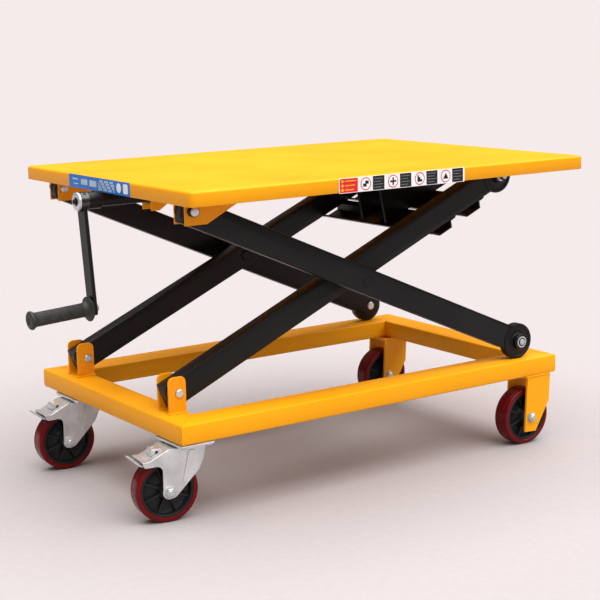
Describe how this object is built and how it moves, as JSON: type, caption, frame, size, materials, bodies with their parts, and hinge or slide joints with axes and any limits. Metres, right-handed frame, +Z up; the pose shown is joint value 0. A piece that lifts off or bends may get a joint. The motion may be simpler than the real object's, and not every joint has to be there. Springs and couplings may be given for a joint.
{
  "type": "scissor lift table",
  "caption": "Mobile scissor lift table: yellow deck and base frame, black crossed arms, hand-cranked lead screw and casters.",
  "frame": {"origin": "middle of the whole part's box in plan, on the floor that the wheels stand on", "axes": "+X runs along the table from the crank end to the end with the fixed casters, +Y across it to the left, +Z up"},
  "size_m": [1.1366, 0.7, 0.633],
  "materials": {
    "yellow_paint": "smooth gloss enamel",
    "black_paint": "satin powder coat",
    "zinc_plate": "bright zinc plating",
    "bright_steel": "machined and lightly oiled",
    "wheel_tread": "smooth dark red polyurethane",
    "wheel_core": "moulded black plastic",
    "grip_rubber": "matt grey moulded rubber",
    "label_print": "printed film"
  },
  "bodies": {
    "base": {"base_rail_left": "yellow_paint", "base_rail_right": "yellow_paint", "base_end_rear": "yellow_paint", "base_end_crank": "yellow_paint", "lower_ear_inner_left": "yellow_paint", "lower_ear_inner_right": "yellow_paint", "lower_ear_outer_left": "yellow_paint", "lower_ear_outer_right": "yellow_paint", "lower_pivot_pin_left": "zinc_plate", "lower_pivot_pin_right": "zinc_plate", "fixed_fork_left": "yellow_paint", "fixed_fork_right": "yellow_paint", "fixed_axle_left": "zinc_plate", "fixed_axle_right": "zinc_plate", "swivel_plate_left": "zinc_plate", "swivel_plate_right": "zinc_plate"},
    "inner_arms": {"inner_arm_left": "black_paint", "inner_arm_right": "black_paint", "cross_member_upper": "black_paint", "cross_member_lower": "black_paint", "yoke_plate_left": "black_paint", "yoke_plate_right": "black_paint", "upper_roller_axle_left": "zinc_plate", "upper_roller_axle_right": "zinc_plate"},
    "outer_arms": {"outer_arm_left": "black_paint", "outer_arm_right": "black_paint", "centre_pivot_pin_left": "black_paint", "centre_pivot_pin_right": "black_paint", "lower_roller_axle_left": "zinc_plate", "lower_roller_axle_right": "zinc_plate"},
    "table": {"table_deck": "yellow_paint", "upper_bracket_left": "yellow_paint", "upper_bracket_right": "yellow_paint", "upper_pivot_pin_left": "zinc_plate", "upper_pivot_pin_right": "zinc_plate", "screw_bracket": "yellow_paint", "bearing_housing": "black_paint"},
    "drive_nut": {"drive_nut": "bright_steel"},
    "crank": {"lead_screw": "bright_steel", "crank_hub": "zinc_plate", "crank_arm": "black_paint"},
    "crank_grip": {"crank_grip": "grip_rubber"},
    "upper_roller_left": {"upper_roller_left": "black_paint"},
    "lower_roller_left": {"lower_roller_left": "black_paint"},
    "swivel_left": {"swivel_fork_left": "zinc_plate", "swivel_axle_left": "zinc_plate"},
    "brake_left": {"brake_pedal_left": "zinc_plate"},
    "front_wheel_left": {"tyre_front_left": "wheel_tread", "wheel_core_front_left": "wheel_core"},
    "rear_wheel_left": {"tyre_rear_left": "wheel_tread", "wheel_core_rear_left": "wheel_core"},
    "upper_roller_right": {"upper_roller_right": "black_paint"},
    "lower_roller_right": {"lower_roller_right": "black_paint"},
    "swivel_right": {"swivel_fork_right": "zinc_plate", "swivel_axle_right": "zinc_plate"},
    "brake_right": {"brake_pedal_right": "zinc_plate"},
    "front_wheel_right": {"tyre_front_right": "wheel_tread", "wheel_core_front_right": "wheel_core"},
    "rear_wheel_right": {"tyre_rear_right": "wheel_tread", "wheel_core_rear_right": "wheel_core"}
  },
  "joints": [
    {"name": "scissor_lift", "type": "hinge", "parent": "base", "child": "inner_arms", "pos_m": [-0.36317, 0, 0.2338], "axis": [0, -1, 0], "range_deg": [-16.2, 23.2]},
    {"name": "scissor_centre", "type": "hinge", "parent": "inner_arms", "child": "outer_arms", "pos_m": [0.04183, 0, 0.412], "axis": [0, -1, 0], "range_deg": [-46.4, 32.4]},
    {"name": "table_pivot", "type": "hinge", "parent": "outer_arms", "child": "table", "pos_m": [-0.36317, 0, 0.5902], "axis": [0, -1, 0], "range_deg": [-16.2, 23.2]},
    {"name": "drive_nut_pivot", "type": "hinge", "parent": "inner_arms", "child": "drive_nut", "pos_m": [0.44683, 0, 0.5902], "axis": [0, -1, 0], "range_deg": [-23.2, 16.2]},
    {"name": "crank_turn", "type": "hinge", "parent": "table", "child": "crank", "pos_m": [-0.44517, 0, 0.5902], "axis": [-1, 0, 0], "continuous": true},
    {"name": "grip_spin", "type": "hinge", "parent": "crank", "child": "crank_grip", "pos_m": [-0.43077, 0, 0.37619], "axis": [-0.9982, 0, -0.0602], "continuous": true},
    {"name": "upper_roller_spin_left", "type": "hinge", "parent": "inner_arms", "child": "upper_roller_left", "pos_m": [0.44683, 0, 0.5902], "axis": [0, 1, 0], "continuous": true},
    {"name": "upper_roller_spin_right", "type": "hinge", "parent": "inner_arms", "child": "upper_roller_right", "pos_m": [0.44683, 0, 0.5902], "axis": [0, 1, 0], "continuous": true},
    {"name": "lower_roller_spin_left", "type": "hinge", "parent": "outer_arms", "child": "lower_roller_left", "pos_m": [0.44683, 0, 0.2338], "axis": [0, 1, 0], "continuous": true},
    {"name": "lower_roller_spin_right", "type": "hinge", "parent": "outer_arms", "child": "lower_roller_right", "pos_m": [0.44683, 0, 0.2338], "axis": [0, 1, 0], "continuous": true},
    {"name": "swivel_left", "type": "hinge", "parent": "base", "child": "swivel_left", "pos_m": [-0.37217, 0.1905, 0.15], "axis": [0, 0, 1], "continuous": true},
    {"name": "front_wheel_spin_left", "type": "hinge", "parent": "swivel_left", "child": "front_wheel_left", "pos_m": [-0.41711, 0.19285, 0.0625], "axis": [0.0523, 0.9986, 0], "continuous": true},
    {"name": "brake_left", "type": "hinge", "parent": "swivel_left", "child": "brake_left", "pos_m": [-0.45605, 0.1949, 0.118], "axis": [-0.0523, -0.9986, 0], "range_deg": [0, 12]},
    {"name": "swivel_right", "type": "hinge", "parent": "base", "child": "swivel_right", "pos_m": [-0.37217, -0.2475, 0.15], "axis": [0, 0, 1], "continuous": true},
    {"name": "front_wheel_spin_right", "type": "hinge", "parent": "swivel_right", "child": "front_wheel_right", "pos_m": [-0.41662, -0.24046, 0.0625], "axis": [0.1564, 0.9877, 0], "continuous": true},
    {"name": "brake_right", "type": "hinge", "parent": "swivel_right", "child": "brake_right", "pos_m": [-0.45514, -0.23436, 0.118], "axis": [-0.1564, -0.9877, 0], "range_deg": [0, 12]},
    {"name": "rear_wheel_spin_left", "type": "hinge", "parent": "base", "child": "rear_wheel_left", "pos_m": [0.46983, 0.24, 0.0625], "axis": [0, 1, 0], "continuous": true},
    {"name": "rear_wheel_spin_right", "type": "hinge", "parent": "base", "child": "rear_wheel_right", "pos_m": [0.46983, -0.267, 0.0625], "axis": [0, 1, 0], "continuous": true}
  ],
  "couplings": [
    {"joint": "scissor_centre", "follows": "scissor_lift", "ratio": -2},
    {"joint": "table_pivot", "follows": "scissor_lift", "ratio": 1},
    {"joint": "drive_nut_pivot", "follows": "scissor_lift", "ratio": -1}
  ]
}
